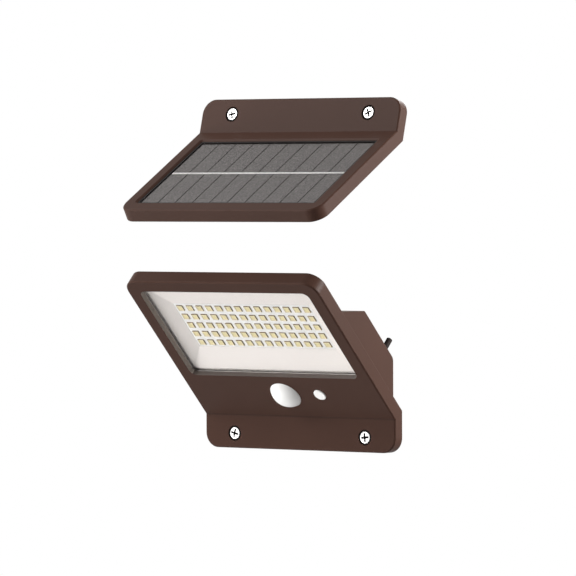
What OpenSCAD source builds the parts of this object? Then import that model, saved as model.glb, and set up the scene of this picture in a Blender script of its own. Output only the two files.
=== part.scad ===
// Solar security light for a wall: a flood lamp with its sensor, and a solar unit that stands above it.
// Millimetres, +Z up. The wall is the plane Y = 0, the front looks along -Y.
// The origin lies on the wall, midway between the lamp's two wall screws.

/* [Lamp housing] */
// Border of the lamp's face beside the window
side_border = 9.8; // [8:0.1:14]
// Border of the lamp's face beyond the window
top_border = 9.5; // [9:0.1:16]
// Height of the lamp's flange below the crease
lamp_flange_h = 23.2; // [21:0.1:32]
// Angle of the lamp's face out of the wall
lamp_tilt = 45; // [43:1:47]
// Distance between the lamp's wall screws
lamp_screw_span = 112; // [80:1:130]
// Distance of the lamp's wall screws from its crease
lamp_screw_drop = 12.9; // [12:0.1:14]

/* [Solar housing] */
// Border of the solar face beside the panel
solar_side_border = 10.7; // [9.4:0.1:16]
// Border of the solar face between the crease and the panel
panel_low = 12; // [11:0.1:20]
// Border of the solar face beyond the panel
solar_top_border = 12.1; // [10:0.1:20]
// Height of the solar unit's flange above the crease
solar_flange_h = 24.3; // [21:0.1:32]
// Angle of the solar unit's face out of its flange
solar_tilt = 45; // [43:1:47]
// Distance between the solar unit's wall screws
solar_screw_span = 117; // [80:1:134]
// Distance of the solar unit's wall screws from its crease
solar_screw_drop = 13.3; // [12:0.1:14]
// Lean of the whole solar unit back from the lamp's wall plane
solar_lean = 15; // [0:1:15]
// Height of the solar unit's crease above the lamp's crease
solar_rise = 194.6; // [180:0.1:260]
// Distance of the solar unit's back from the lamp's wall plane at its crease
solar_off = 6.7; // [6.5:0.1:60]
// Sideways place of the solar unit
solar_x = 3.4; // [-20:0.1:20]

/* [Moulded parts] */
// Thickness of both flanges
flange_t = 8.4; // [7:0.1:9.2]
// Wall of the moulded housings
wall = 2; // [1.6:0.1:2.4]
// Radius of the four outer corners of each unit
corner_r = 10.5; // [6:0.1:12]
// Chamfer along the front edges
edge = 0.8; // [0.4:0.1:1.4]
// Thickness of a stiffening rib
rib_t = 1.6; // [1:0.1:2]
// Clearance round a part that drops into a pocket
fit = 0.2; // [0.1:0.05:0.3]

/* [Window] */
// Width of the window at the face
window_w = 143.4; // [128:0.1:160]
// Height of the window along the face
window_h = 83.7; // [76:0.1:96]
// Corner radius of the window
window_r = 5; // [3:0.1:8]
// Flare of the window's edge on each side
window_flare = 0.8; // [0.4:0.1:2]
// Thickness of the face behind the window's edge
front_wall = 3.2; // [2.4:0.1:4]
// Thickness of the clear window
lens_t = 1.6; // [1.2:0.1:1.8]
// Thickness of the gasket in front of the window
lens_gasket_t = 0.3; // [0.2:0.1:0.8]

/* [Reflector and LEDs] */
// Run of the reflector's side walls
reflector_side = 11.3; // [8:0.1:14]
// Run of the reflector's lower wall
reflector_low = 18.3; // [14:0.1:20]
// Run of the reflector's upper wall
reflector_high = 19; // [14:0.1:20]
// Depth of the LED board below the face
board_d = 9; // [8.6:0.1:10]
// Columns of LEDs
led_cols = 14; // [6:1:16]
// Rows of LEDs
led_rows = 5; // [2:1:6]
// Floor of the reflector beside the outer LEDs
led_side_border = 2.05; // [1:0.05:6]
// Floor of the reflector above and below the outer LEDs
led_end_border = 1.8; // [1:0.1:4]
// Side of one LED chip
led_side = 5; // [2.8:0.1:5.4]
// Thickness of one LED chip
led_t = 0.8; // [0.5:0.1:1.2]

/* [Sensor and button] */
// Distance of the sensor's pocket from the crease
sensor_low = 7.6; // [7:0.1:10]
// Radius of the sensor's dome at the face
dome_r = 11.6; // [9:0.1:12.5]
// Height of the sensor's dome above the face
dome_h = 6.3; // [4:0.1:9]
// Sideways place of the button
button_x = 30; // [24:0.1:40]
// Height of the button's centre over the dome's
button_rise = 1.3; // [0:0.1:3]
// Radius of the button
button_r = 4.6; // [3.5:0.1:5.5]
// Height of the button above the face
button_proud = 0.7; // [0.7:0.1:1.5]
// Travel of the button
button_travel = 0.6; // [0.3:0.1:0.6]

/* [Battery box] */
// Distance between the LED board and the cells
cell_clear = 3.3; // [2.6:0.1:5]
// Room between the cells and the box's top
box_room = 6.8; // [4:0.1:12]
// Distance of the box from the housing's side
box_inset = 7; // [6:0.1:9]
// Distance of the box's back from the wall
box_clear = 0.5; // [0.4:0.1:2]
// Corner radius at the box's top in its side view
box_top_r = 2.4; // [2.4:0.1:4]
// Corner radius at the box's back and foot in its side view
box_back_r = 6; // [3:0.1:7]
// Diameter of a battery cell
cell_dia = 18.3; // [14:0.1:21]
// Length of a battery cell
cell_l = 65; // [50:1:80]

/* [Solar panel] */
// Width of the solar panel
panel_w = 148.6; // [130:0.1:170]
// Height of the solar panel
panel_h = 82.2; // [70:0.1:100]
// Depth of the panel's cover below the face
panel_d = 1; // [0.8:0.1:1.4]
// Number of solar cells
cell_count = 10; // [4:1:12]
// Gap between solar cells
cell_gap = 0.8; // [0.4:0.1:1.2]
// Width of the ribbon across the cells
ribbon_w = 1.7; // [1:0.1:3]

/* [Wall screws] */
// Radius of the screw's head
screw_head_r = 4.75; // [4:0.05:5]
// Height of the screw's head
screw_head_h = 2.4; // [2:0.1:3]
// Radius of the screw's threaded part
screw_r = 2.1; // [1.5:0.1:2.2]
// Length of the screw behind the wall's plane
screw_reach = 32; // [20:1:50]

/* [Hidden] */

// Overrun of every cut, the leaf that a blend starts from, and the fineness of curves
over = 0.5;
leaf = 0.01;
$fn = 48;
smooth = 96;
blend_fn = 32;

// Colours
brown = [0.36, 0.26, 0.23];
steel = [0.86, 0.85, 0.84];
black = [0.09, 0.09, 0.09];
white = [0.93, 0.93, 0.91];
clear = [0.9, 0.95, 0.97, 0.35];
board_green = [0.12, 0.36, 0.2];
cell_grey = [0.4, 0.39, 0.39];

// Depths below the lamp's face, from the window back
seal_t = 0.8;
rim_t = 1;
rim_room = 1.1;
board_t = 1.6;
board_room = 0.7;
lens_d = front_wall + lens_gasket_t;
rim_d = lens_d + lens_t;
ledge_d = rim_d + rim_t + rim_room;
plate_d = ledge_d + seal_t;
lamp_face_t = plate_d + wall;
plateau_d = board_d + board_t + board_room + wall;

// Sensor's pocket
dome_fit = 0.15;
dome_lap = 1.5;
dome_gap = 1.2;
dome_flange_t = 1.2;
dome_wall = 1;
dome_ball_r = (dome_r * dome_r + dome_h * dome_h) / (2 * dome_h);
sensor_y = sensor_low + dome_gap + dome_lap + dome_r;
sensor_high = sensor_y + dome_r + dome_lap + dome_gap;

// Window and the pocket behind it
lens_lap = 2.2;
pocket_low = sensor_high + rib_t;
window_low = pocket_low + fit + lens_lap;
window_mid = window_low + window_h / 2;
lens_w = window_w + 2 * lens_lap;
lens_h = window_h + 2 * lens_lap;
pocket_w = lens_w + 2 * fit;
pocket_h = lens_h + 2 * fit;
pocket_high = pocket_low + pocket_h;

// Lamp's outline, and the recess in its back that the back plate lies in
lamp_w = window_w + 2 * side_border;
lamp_face_l = window_low + window_h + top_border;
ledge_w = 3;
recess_w = pocket_w + 2 * ledge_w;
recess_low = sensor_low - ledge_w;
recess_high = lamp_face_l - wall;
recess_mid = (recess_low + recess_high) / 2;
recess_h = recess_high - recess_low;
recess_r = corner_r - wall;

// Reflector
rim_lip = 1.1;
shell_t = 1;
floor_r = 0.6;
window_narrow = [window_w - 2 * window_flare, window_h - 2 * window_flare];
window_narrow_r = window_r - window_flare;
rim_size = [window_narrow[0] - 2 * rim_lip, window_narrow[1] - 2 * rim_lip];
floor_size = [rim_size[0] - 2 * reflector_side, rim_size[1] - reflector_low - reflector_high];
floor_mid = window_mid + (reflector_low - reflector_high) / 2;

// LEDs and their board
led_pitch = [
    (floor_size[0] - led_side - 2 * led_side_border) / (led_cols - 1),
    (floor_size[1] - led_side - 2 * led_end_border) / (led_rows - 1)
];
board_margin = 4;
led_board_w = floor_size[0] + 2 * board_margin;
led_board_h = floor_size[1] + 2 * board_margin;

// Button, its switch, the sensor and their board
button_y = sensor_y + button_rise;
button_gap = 0.25;
button_stop_gap = 0.1;
button_lap = 1.4;
button_flange_t = 0.9;
button_chamfer = 0.4;
switch_side = 6;
switch_h = 3.5;
switch_plunger_r = 1.7;
switch_gap = 0.05;
plunger_l = 0.65;
plunger_d = front_wall + button_stop_gap + button_flange_t + button_travel + switch_gap;
control_d = plunger_d + plunger_l + switch_h;
control_gap = 2;
control_side = 20;
control_w = button_x + 2 * control_side;
control_h = sensor_high - sensor_low - 2 * control_gap;
control_x = button_x / 2;
post_r = 2.6;
post_inset = 3;
can_r = 4.6;
can_h = 4.2;
can_rim_r = 5;
can_rim_t = 0.5;
can_window = 3.2;
can_window_t = 0.2;
chip_size = [7, 5, 1.2];
socket_size = [10, 5, 3.4];

// Battery box, cells and cradle
box_w = lamp_w - 2 * box_inset;
side_wall = 1.8;
foot_inset = 0.4;
box_foot = recess_low + foot_inset;
box_lead = 4 * box_back_r;
rail_inset = 4;
cell_space = 1.1;
cell_fit = 0.1;
cradle_floor = 0.8;
cradle_end = 5.5;
cradle_arm = 1.6;
cradle_drop = 2;
cradle_l = cell_l - 2 * cradle_end;
cradle_d = board_d + board_t + cell_clear + cell_dia + cradle_floor;
box_d = cradle_d + wall;
cell_d = cradle_d - cradle_floor - cell_dia / 2;
cradle_foot = y_at_wall(box_clear + wall, cradle_d, lamp_tilt) + box_back_r * tan(lamp_tilt / 2);
cell_low = cradle_foot + cradle_arm + cell_dia / 2;
cell_high = cell_low + cell_dia + cell_space;
box_top = slope_point(cell_high, cell_d, lamp_tilt)[1] + cell_dia / 2 + box_room + wall;
tab_t = 0.3;
tab_half = 2.5;

// Lead's sleeve
lead_r = 2.1;
lead_bore_r = 1.2;
lead_out = 8.6;
lead_margin = 0.7;
lead_up = 9.3;
lead_x = box_w / 2 - lead_r - lead_margin;
lead_y = y_at_wall(box_clear, box_d, lamp_tilt) + lead_up;
lead_fit = 0.05;

// Small screws
case_screw_r = 1.25;
case_head_r = 2.2;
case_head_h = 1.6;
case_screw_l = 6.4;
case_screw_shares = [0.27, 0.82];
case_screw_y = (pocket_high + recess_high) / 2;
head_room = 0.8;
head_round = 0.4;
low_screw_inset = 8.5;
low_screw_gap = 5.4;
low_screw_x = box_w / 2 - low_screw_inset;
low_screw_y = sensor_low + low_screw_gap;
low_boss_r = 3.2;
well_r = 3;
well_wall = 1.4;
pilot_gap = 0.05;
hole_gap = 0.15;
board_screw_r = 1.1;
board_head_r = 2;
board_head_h = 1.3;
board_screw_l = 5.5;

// Plateau over the LED board
plateau_high = case_screw_y - case_head_r - head_room;
plateau_low = sensor_low;
plateau_r = 6;

// Wall screws, their seats and the relief in the flange's back
shoulder_step = 0.3;
shoulder_gap = 0.3;
shoulder_r = screw_r + shoulder_step;
screw_hole_r = shoulder_r + shoulder_gap;
seat_gap = 0.65;
seat_r = screw_head_r + seat_gap;
seat_d = 2.2;
screw_dome = 0.5;
screw_tip = 4;
screw_tip_r = 0.3;
relief_skin = 2.4;
relief_pitch = 19;
relief_rim = 2.2;
relief_top = 1;
boss_wall = 1.8;

// Solar panel stack below its face
cover_t = 0.9;
ribbon_t = 0.2;
cell_t = 0.3;
backsheet_t = 1.6;
bead_w = 1.2;
bead_sink = 0.2;
bevel_run = 1.6;
panel_r = 1;
panel_pocket_w = panel_w + 2 * bead_w;
panel_pocket_h = panel_h + 2 * bead_w;
tray_d = panel_d + cover_t + ribbon_t + cell_t + backsheet_t;
tray_t = 1.5;
cavity_room = 1.8;
solar_plate_d = tray_d + tray_t + cavity_room;
solar_face_t = solar_plate_d + wall;
cell_pitch = panel_w / cell_count;
cell_edge = 1;

// Solar unit's outline and its back
panel_mid = panel_low + panel_h / 2;
solar_w = panel_w + 2 * solar_side_border;
solar_face_l = panel_low + panel_h + solar_top_border;
cavity_side = 2;
cavity_w = panel_pocket_w + 2 * cavity_side;
cavity_low = panel_low - bead_w - cavity_side;
cavity_high = panel_low + panel_h + bead_w + cavity_side;
cover_lap = 4.2;
cover_w = solar_w - 2 * (wall + fit);
cover_low = cavity_low - cover_lap;
cover_high = solar_face_l - wall - fit;
cover_mid = (cover_low + cover_high) / 2;
cover_h = cover_high - cover_low;
cover_screw_x = (cavity_w + cover_w) / 4;
cover_screw_inset = 16;
gland_y = 30;
gland_r = 4;
gland_flange_r = 6;
gland_flange_t = 1.2;
gland_out = 7;
gland_tip_r = 3;
gland_bore_r = 1.9;
gland_fit = 0.1;

// Rounded rectangle about its own centre
module round_rect(w, h, r) {
    square([w - 2 * r, h], center = true);
    square([w, h - 2 * r], center = true);
    for (x = [-1, 1], y = [-1, 1]) {
        translate([x * (w / 2 - r), y * (h / 2 - r)]) circle(r);
    }
}

// Each unit's own frame has the crease at Z = 0, the flange below it and its back on Y = 0
module lamp_unit() {
    translate([0, 0, lamp_screw_drop]) children();
}

module solar_unit() {
    translate([solar_x, -solar_off, lamp_screw_drop + solar_rise])
        rotate([-solar_lean, 0, 0])
            mirror([0, 0, 1]) children();
}

// On a face or a flange, Y runs away from the crease and Z points out of the front surface
module on_face(tilt) {
    translate([0, -flange_t, 0]) rotate([90 + tilt, 0, 0]) children();
}

module on_flange() {
    translate([0, -flange_t, 0]) mirror([0, 0, 1]) rotate([90, 0, 0]) children();
}

module lamp_face() {
    lamp_unit() on_face(lamp_tilt) children();
}

module solar_face() {
    solar_unit() on_face(solar_tilt) children();
}

// Point of a unit's side view, a way up the face and a depth below it
function slope_point(y, d, tilt) = [
    d * cos(tilt) - y * sin(tilt) - flange_t,
    y * cos(tilt) + d * sin(tilt)
];

// Way up the face at which a depth has a given height, or a given distance from the wall
function y_at_height(z, d, tilt) = (z - d * sin(tilt)) / cos(tilt);
function y_at_wall(gap, d, tilt) = (d * cos(tilt) - flange_t + gap) / sin(tilt);

// Place of the back plate's front at a height, and the height of the box's foot
function box_front(z) = slope_point(y_at_height(z, plate_d, lamp_tilt), plate_d, lamp_tilt)[0];
box_foot_z = slope_point(box_foot, lamp_face_t, lamp_tilt)[1];

// Extrude a side view across the unit
module across(w) {
    rotate([90, 0, 90]) linear_extrude(w, center = true) children();
}

// Plates, rings, blocks and rods that lie on a face, between two depths below it
module plate(w, h, mid, r, d0, d1) {
    translate([0, mid, -d1]) linear_extrude(d1 - d0) round_rect(w, h, r);
}

module ring(w, h, mid, r, band, d0, d1) {
    difference() {
        plate(w, h, mid, r, d0, d1);
        plate(w - 2 * band, h - 2 * band, mid, max(r - band, leaf), d0 - over, d1 + over);
    }
}

module block(w, y0, y1, d0, d1) {
    translate([-w / 2, y0, -d1]) cube([w, y1 - y0, d1 - d0]);
}

module rod(x, y, r, d0, d1) {
    translate([x, y, -d1]) cylinder(r = r, h = d1 - d0);
}

// Blend from one rounded rectangle to another, from depth d0 to depth d1
module funnel(size0, r0, mid0, d0, size1, r1, mid1, d1) {
    hull() {
        translate([0, mid0, -d0]) linear_extrude(leaf) round_rect(size0[0], size0[1], r0, $fn = blend_fn);
        translate([0, mid1, -d1]) linear_extrude(leaf) round_rect(size1[0], size1[1], r1, $fn = blend_fn);
    }
}

// Cross-section of a plate with chamfered front edges
module slab_profile(w, t) {
    polygon([
        [-w / 2, -t], [-w / 2, -edge], [edge - w / 2, 0],
        [w / 2 - edge, 0], [w / 2, -edge], [w / 2, -t]
    ]);
}

// Plate with two rounded free corners and a chamfer round its front, carried on past the crease
module slab(w, l, t, back) {
    straight = l - corner_r;
    translate([0, straight, 0]) rotate([90, 0, 0]) linear_extrude(straight + back) slab_profile(w, t);
    rotate([90, 0, 90]) linear_extrude(w - 2 * corner_r, center = true) polygon([
        [-back, -t], [l, -t], [l, -edge], [l - edge, 0], [-back, 0]
    ]);
    for (side = [-1, 1]) {
        translate([side * (w / 2 - corner_r), straight, 0]) rotate_extrude($fn = smooth) polygon([
            [0, -t], [corner_r, -t], [corner_r, -edge], [corner_r - edge, 0], [0, 0]
        ]);
    }
}

// Pockets in the flange's back, with ribs between them and a boss round each screw
module flange_relief(w, flange_h, span, drop) {
    inner_w = w - 2 * relief_rim;
    count = floor(inner_w / relief_pitch);
    pitch = (inner_w + rib_t) / count;
    translate([0, 0, -flange_t - over]) linear_extrude(flange_t + over - relief_skin) difference() {
        intersection() {
            translate([0, -relief_rim]) round_rect(inner_w, 2 * flange_h, corner_r - relief_rim);
            for (i = [0 : count - 1]) {
                translate([i * pitch - inner_w / 2, relief_top]) square([pitch - rib_t, flange_h]);
            }
        }
        for (side = [-1, 1]) {
            translate([side * span / 2, drop]) circle(seat_r + boss_wall);
        }
    }
}

module screw_seats(span, drop) {
    for (side = [-1, 1]) {
        rod(side * span / 2, drop, seat_r, -over, seat_d);
        rod(side * span / 2, drop, screw_hole_r, 0, flange_t + over);
    }
}

// Moulded body that both units share: two plates that meet at the crease
module bent_body(w, flange_h, face_l, face_t, tilt, span, drop) {
    mitre_z = flange_t * tan(tilt / 2);
    reach = 2 * face_l;
    difference() {
        union() {
            intersection() {
                on_flange() slab(w, flange_h, flange_t, face_t);
                across(w + over) polygon([
                    [-2 * flange_t, over - mitre_z], [flange_t, over + 2 * mitre_z],
                    [flange_t, -reach], [-2 * flange_t, -reach]
                ]);
            }
            intersection() {
                on_face(tilt) slab(w, face_l, face_t, flange_t);
                across(w + over) polygon([
                    [-2 * flange_t, -mitre_z - over], [0, mitre_z - over],
                    [0, reach], [-reach, reach], [-reach, -mitre_z - over]
                ]);
            }
        }
        on_flange() {
            flange_relief(w, flange_h, span, drop);
            screw_seats(span, drop);
        }
    }
}

// Wall screw with its domed head, its shoulder in the flange and its threaded part in the wall
module wall_screw() {
    ball_r = (screw_head_r * screw_head_r + screw_dome * screw_dome) / (2 * screw_dome);
    translate([0, 0, -seat_d]) intersection() {
        cylinder(r = screw_head_r, h = screw_head_h);
        translate([0, 0, screw_head_h - ball_r]) sphere(ball_r, $fn = smooth);
    }
    translate([0, 0, -flange_t]) cylinder(r = shoulder_r, h = flange_t - seat_d);
    translate([0, 0, -flange_t - screw_reach]) cylinder(r = screw_r, h = screw_reach);
    translate([0, 0, -flange_t - screw_reach - screw_tip])
        cylinder(r1 = screw_tip_r, r2 = screw_r, h = screw_tip);
}

module wall_screw_pair(span, drop) {
    on_flange() {
        for (side = [-1, 1]) {
            translate([side * span / 2, drop, 0]) wall_screw();
        }
    }
}

// Small pan-head screw, its head outside depth d
module pan_screw(d, r, l, head_r, head_h) {
    rod(0, 0, r, d - l, d);
    rod(0, 0, head_r, d, d + head_h - head_round);
    translate([0, 0, -d - head_h]) cylinder(r1 = head_r - head_round, r2 = head_r, h = head_round);
}

// Places that the lamp's parts share
module top_screw_places() {
    for (share = case_screw_shares, side = [-1, 1]) {
        translate([side * share * lamp_w / 2, case_screw_y, 0]) children();
    }
}

module low_screw_places() {
    for (side = [-1, 1]) {
        translate([side * low_screw_x, low_screw_y, 0]) children();
    }
}

module control_post_places() {
    for (x = [-1, 1], y = [-1, 1]) {
        translate([
            control_x + x * (control_w / 2 - post_inset),
            sensor_y + y * (control_h / 2 - post_inset),
            0
        ]) children();
    }
}

// Window opening through the face, wider in front
module window_cut() {
    plate(window_w, window_h, window_mid, window_r, -over, 0);
    funnel([window_w, window_h], window_r, window_mid, 0,
        window_narrow, window_narrow_r, window_mid, front_wall);
    plate(window_narrow[0], window_narrow[1], window_mid, window_narrow_r,
        front_wall - leaf, front_wall + over);
}

module front_shell() {
    difference() {
        bent_body(lamp_w, lamp_flange_h, lamp_face_l, lamp_face_t, lamp_tilt,
            lamp_screw_span, lamp_screw_drop);
        on_face(lamp_tilt) {
            window_cut();
            plate(pocket_w, pocket_h, window_mid, window_r, front_wall, lamp_face_t + over);
            plate(pocket_w, sensor_high - sensor_low, sensor_y, window_r, front_wall, lamp_face_t + over);
            plate(recess_w, recess_h, recess_mid, recess_r, ledge_d, lamp_face_t + over);
        }
    }
}

module lamp_front_housing() {
    color(brown) lamp_unit() difference() {
        union() {
            front_shell();
            on_face(lamp_tilt) {
                control_post_places() rod(0, 0, post_r, front_wall - over, control_d);
                low_screw_places() rod(0, 0, low_boss_r, front_wall - over, plate_d);
            }
        }
        on_face(lamp_tilt) {
            rod(0, sensor_y, dome_r + dome_fit, -over, front_wall + over);
            rod(button_x, button_y, button_r + button_gap, -over, front_wall + over);
            control_post_places()
                rod(0, 0, board_screw_r + pilot_gap, control_d + board_t - board_screw_l, control_d + over);
            top_screw_places() rod(0, 0, case_screw_r + pilot_gap, lamp_face_t - case_screw_l, lamp_face_t);
            low_screw_places() rod(0, 0, case_screw_r + pilot_gap, lamp_face_t - case_screw_l, lamp_face_t);
        }
    }
}

// Corners of the battery box's side view, with its top raised
function box_corners(rise) = [
    [box_front(box_top) - box_lead, box_top + rise],
    slope_point(y_at_height(box_top + rise, box_d, lamp_tilt), box_d, lamp_tilt),
    slope_point(y_at_wall(box_clear, box_d, lamp_tilt), box_d, lamp_tilt),
    [-box_clear, box_foot_z],
    [box_front(box_foot_z) - box_lead, box_foot_z]
];

// Side view of the battery box from depth d0 back, drawn in by a wall for its inside
module box_view(inset, d0) {
    intersection() {
        offset(r = box_top_r - inset, $fn = smooth) offset(delta = -box_top_r) polygon(box_corners(0));
        offset(r = box_back_r - inset, $fn = smooth) offset(delta = -box_back_r)
            polygon(box_corners(box_lead));
        polygon([
            slope_point(-box_d, d0, lamp_tilt),
            slope_point(lamp_face_l, d0, lamp_tilt),
            slope_point(lamp_face_l, 2 * box_d, lamp_tilt),
            slope_point(-box_d, 2 * box_d, lamp_tilt)
        ]);
    }
}

// Outside of the back housing: a plate in the front's recess, a low plateau and the deep box
module back_outside() {
    plateau_h = plateau_high - plateau_low;
    on_face(lamp_tilt) {
        plate(recess_w - 2 * fit, recess_h - 2 * fit, recess_mid, recess_r - fit, plate_d, lamp_face_t);
        plate(box_w, plateau_h, plateau_low + plateau_h / 2, plateau_r, plate_d, plateau_d);
    }
    across(box_w) box_view(0, lamp_face_t);
}

module back_inside() {
    inner_w = box_w - 2 * side_wall;
    inner_high = plateau_high - wall;
    inner_low = pocket_low;
    on_face(lamp_tilt)
        plate(inner_w, inner_high - inner_low, (inner_high + inner_low) / 2, plateau_r - side_wall,
            plate_d - over, plateau_d - wall);
    across(inner_w) box_view(wall, plate_d - over);
}

// Rails that carry the LED board, cut to the inside of the box
module board_rails() {
    rail_low = floor_mid - led_board_h / 2;
    rail_high = floor_mid + led_board_h / 2;
    intersection() {
        back_outside();
        on_face(lamp_tilt) {
            for (side = [-1, 1]) {
                translate([side * (led_board_w / 2 - rail_inset), 0, 0])
                    block(rib_t, rail_low, rail_high, board_d + board_t, 2 * box_d);
            }
        }
    }
}

module lamp_back_housing() {
    color(brown) lamp_unit() {
        difference() {
            union() {
                difference() {
                    back_outside();
                    back_inside();
                }
                board_rails();
                intersection() {
                    back_outside();
                    on_face(lamp_tilt) low_screw_places() rod(0, 0, well_r + well_wall, plate_d, 2 * box_d);
                }
            }
            on_face(lamp_tilt) {
                low_screw_places() {
                    rod(0, 0, well_r, lamp_face_t, 2 * box_d);
                    rod(0, 0, case_screw_r + hole_gap, plate_d - over, lamp_face_t + over);
                }
                top_screw_places() rod(0, 0, case_screw_r + hole_gap, plate_d - over, lamp_face_t + over);
                rod(lead_x, lead_y, lead_r + lead_fit, box_d - wall, box_d + over);
            }
        }
    }
}

module housing_seal() {
    color(black) lamp_face() difference() {
        plate(recess_w - 2 * fit, recess_h - 2 * fit, recess_mid, recess_r - fit, ledge_d, plate_d);
        plate(pocket_w, pocket_high - sensor_low, (pocket_high + sensor_low) / 2, window_r, 0, lamp_face_t);
        top_screw_places() rod(0, 0, case_screw_r + hole_gap, 0, lamp_face_t);
    }
}

module housing_screws() {
    color(steel) lamp_face() {
        top_screw_places() pan_screw(lamp_face_t, case_screw_r, case_screw_l, case_head_r, case_head_h);
        low_screw_places() pan_screw(lamp_face_t, case_screw_r, case_screw_l, case_head_r, case_head_h);
    }
}

module window_gasket() {
    color(black) lamp_face()
        ring(lens_w, lens_h, window_mid, window_r, lens_lap + window_flare, front_wall, lens_d);
}

module window_lens() {
    color(clear) lamp_face() plate(lens_w, lens_h, window_mid, window_r, lens_d, rim_d);
}

// Shallow pan with a flat rim, a skirt that the back housing presses on, and four sloping walls
module reflector() {
    outer_rim = [rim_size[0] + 2 * shell_t, rim_size[1] + 2 * shell_t];
    outer_floor = [floor_size[0] + 2 * shell_t, floor_size[1] + 2 * shell_t];
    rim_r = window_narrow_r - rim_lip;
    color(white) lamp_face() difference() {
        union() {
            plate(lens_w, lens_h, window_mid, window_r, rim_d, rim_d + rim_t);
            ring(lens_w, lens_h, window_mid, window_r, shell_t, rim_d, plate_d);
            funnel(outer_rim, rim_r + shell_t, window_mid, rim_d + leaf,
                outer_floor, floor_r + shell_t, floor_mid, board_d);
        }
        plate(rim_size[0], rim_size[1], window_mid, rim_r, rim_d - over, rim_d + leaf);
        funnel(rim_size, rim_r, window_mid, rim_d + leaf, floor_size, floor_r, floor_mid, board_d);
        plate(floor_size[0], floor_size[1], floor_mid, floor_r, board_d - leaf, board_d + over);
    }
}

module led_board() {
    color(white) lamp_face()
        block(led_board_w, floor_mid - led_board_h / 2, floor_mid + led_board_h / 2,
            board_d, board_d + board_t);
}

module led_chips() {
    color("khaki") lamp_face() {
        for (i = [0 : led_cols - 1], j = [0 : led_rows - 1]) {
            translate([
                (i - (led_cols - 1) / 2) * led_pitch[0],
                floor_mid + (j - (led_rows - 1) / 2) * led_pitch[1],
                0
            ]) block(led_side, -led_side / 2, led_side / 2, board_d - led_t, board_d);
        }
    }
}

// Hollow dome with a flange behind the face
module pir_lens() {
    color(white) lamp_face() translate([0, sensor_y, 0]) difference() {
        union() {
            rod(0, 0, dome_r + dome_lap, front_wall, front_wall + dome_flange_t);
            rod(0, 0, dome_r, 0, front_wall);
            intersection() {
                rod(0, 0, dome_r, -dome_h, 0);
                translate([0, 0, dome_h - dome_ball_r]) sphere(dome_ball_r, $fn = smooth);
            }
        }
        rod(0, 0, dome_r - dome_wall, 0, front_wall + dome_flange_t + over);
        intersection() {
            rod(0, 0, dome_r - dome_wall, -dome_h, leaf);
            translate([0, 0, dome_h - dome_ball_r]) sphere(dome_ball_r - dome_wall, $fn = smooth);
        }
    }
}

module pir_sensor() {
    color(steel) lamp_face() translate([0, sensor_y, 0]) difference() {
        union() {
            rod(0, 0, can_rim_r, control_d - can_rim_t, control_d);
            rod(0, 0, can_r, control_d - can_h, control_d);
        }
        block(can_window, -can_window / 2, can_window / 2,
            control_d - can_h - over, control_d - can_h + can_window_t);
    }
}

module control_board() {
    color(board_green) lamp_face() difference() {
        translate([control_x, 0, 0])
            block(control_w, sensor_y - control_h / 2, sensor_y + control_h / 2,
                control_d, control_d + board_t);
        control_post_places()
            rod(0, 0, board_screw_r + hole_gap, control_d - over, control_d + board_t + over);
    }
}

// Controller chip and the two sockets on the back of the control board
module control_parts() {
    back_d = control_d + board_t;
    color(black) lamp_face() translate([control_x, sensor_y, 0]) {
        block(chip_size[0], -chip_size[1] / 2, chip_size[1] / 2, back_d, back_d + chip_size[2]);
        for (side = [-1, 1]) {
            translate([side * control_w / 4, -control_h / 4, 0])
                block(socket_size[0], -socket_size[1] / 2, socket_size[1] / 2,
                    back_d, back_d + socket_size[2]);
        }
    }
}

module control_screws() {
    color(steel) lamp_face() control_post_places()
        pan_screw(control_d + board_t, board_screw_r, board_screw_l, board_head_r, board_head_h);
}

module mode_button() {
    stop_d = front_wall + button_stop_gap;
    color(white) lamp_face() translate([button_x, button_y, 0]) {
        rod(0, 0, button_r, button_chamfer - button_proud, stop_d);
        translate([0, 0, button_proud - button_chamfer])
            cylinder(r1 = button_r, r2 = button_r - button_chamfer, h = button_chamfer);
        rod(0, 0, button_r + button_lap, stop_d, stop_d + button_flange_t);
    }
}

module tact_switch() {
    color(black) lamp_face() translate([button_x, button_y, 0]) {
        block(switch_side, -switch_side / 2, switch_side / 2, control_d - switch_h, control_d);
        rod(0, 0, switch_plunger_r, plunger_d, control_d - switch_h);
    }
}

module cell_places() {
    for (y = [cell_low, cell_high]) {
        translate([0, y, -cell_d]) rotate([0, 90, 0]) children();
    }
}

module battery_cells() {
    color("steelblue") lamp_face() cell_places() cylinder(d = cell_dia, h = cell_l, center = true);
}

module battery_cradle() {
    reach = cell_dia / 2 + cradle_arm;
    color(black) lamp_face() difference() {
        block(cradle_l, cell_low - reach, cell_high + reach, cell_d + cradle_drop, cradle_d);
        cell_places() cylinder(d = cell_dia + 2 * cell_fit, h = cell_l, center = true);
    }
}

module battery_tabs() {
    color(steel) lamp_face() {
        for (side = [-1, 1]) {
            translate([side * (cell_l + tab_t) / 2, 0, 0])
                block(tab_t, cell_low - tab_half, cell_high + tab_half, cell_d - tab_half, cell_d + tab_half);
        }
    }
}

// Sleeve in which the lead leaves the box
module lamp_lead_sleeve() {
    color(black) lamp_face() difference() {
        rod(lead_x, lead_y, lead_r, box_d - wall, box_d + lead_out);
        rod(lead_x, lead_y, lead_bore_r, box_d - wall - over, box_d + lead_out + over);
    }
}

module lamp_wall_screws() {
    color(steel) lamp_unit() wall_screw_pair(lamp_screw_span, lamp_screw_drop);
}

// Solar unit

module cover_screw_places() {
    for (side = [-1, 1], y = [cover_low + cover_screw_inset, cover_high - cover_screw_inset]) {
        translate([side * cover_screw_x, y, 0]) children();
    }
}

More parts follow.
